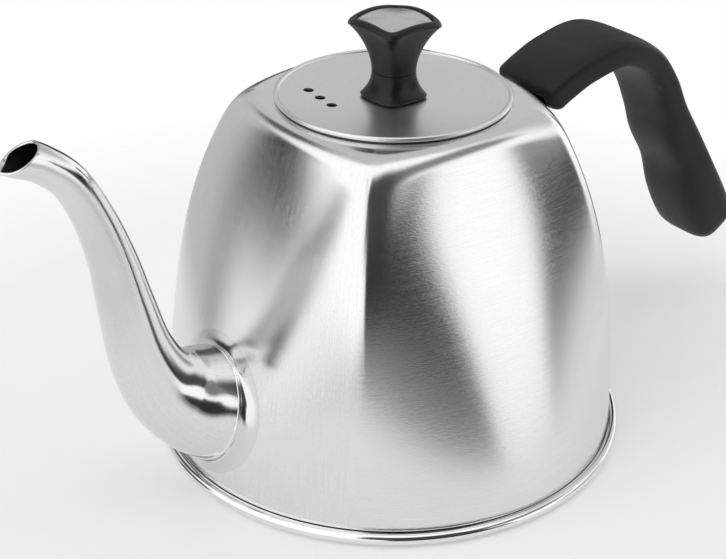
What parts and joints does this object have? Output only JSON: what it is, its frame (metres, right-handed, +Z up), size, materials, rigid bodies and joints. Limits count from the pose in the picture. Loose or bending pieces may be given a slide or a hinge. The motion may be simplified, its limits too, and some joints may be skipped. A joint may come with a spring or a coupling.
{
  "type": "gooseneck kettle",
  "caption": "Small steel stove-top kettle with a rounded-square shoulder, a curved gooseneck spout, an open black handle and a lift-off lid with steam vents.",
  "frame": {"origin": "centre of the round base, on the surface that the kettle stands on", "axes": "+Z up, +X towards the handle, -X towards the spout"},
  "size_m": [0.2746, 0.15, 0.1358],
  "materials": {
    "shell_steel": "brushed satin",
    "spout_steel": "semi-bright polished",
    "bright_steel": "mirror polished",
    "lid_steel": "fine satin",
    "plain_steel": "mill finish",
    "core_aluminium": "mill finish",
    "grip_plastic": "soft-touch matte",
    "knob_plastic": "satin moulded",
    "insert_brass": "machined"
  },
  "bodies": {
    "kettle": {"body_shell": "shell_steel", "base_pan": "bright_steel", "heat_spreader": "core_aluminium", "base_cap": "plain_steel", "spout_collar": "spout_steel", "spout_joint_ring": "bright_steel", "spout_tube": "spout_steel", "handle_mount_plate": "plain_steel", "handle_bracket": "plain_steel", "handle_tang": "plain_steel", "handle_grip": "grip_plastic", "handle_screws": "bright_steel", "handle_washers": "plain_steel"},
    "lid": {"lid_shell": "lid_steel", "lid_skirt": "plain_steel", "knob_washer": "plain_steel", "knob_screw": "bright_steel", "knob_insert": "insert_brass", "knob_base": "knob_plastic", "knob_grip": "knob_plastic", "knob_inset": "bright_steel"}
  },
  "joints": [
    {"name": "lid_lift", "type": "slide", "parent": "kettle", "child": "lid", "axis": [0, 0, 1], "range_m": [0, 0.06]}
  ]
}
